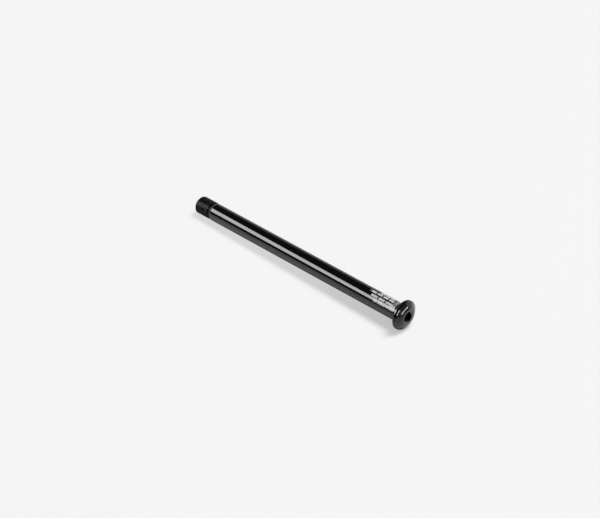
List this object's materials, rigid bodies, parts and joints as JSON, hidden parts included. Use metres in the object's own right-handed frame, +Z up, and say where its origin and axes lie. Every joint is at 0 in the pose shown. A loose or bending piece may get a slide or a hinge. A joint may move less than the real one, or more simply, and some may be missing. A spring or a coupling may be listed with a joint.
{
  "type": "bicycle thru axle",
  "caption": "Hollow black thru axle for a bicycle wheel: domed flanged head with a hexagon socket, plain shaft, relief groove and short threaded end.",
  "frame": {"origin": "on the ground under the middle of the axle's length, where it lies on its head's rim", "axes": "+Y along the axle from the head to the threaded tip, +Z up, axle level at the rim's radius"},
  "size_m": [0.02, 0.1844, 0.02],
  "materials": {
    "black_finish": "gloss black anodised aluminium"
  },
  "bodies": {
    "root": {"thru_axle": "black_finish"}
  },
  "joints": []
}
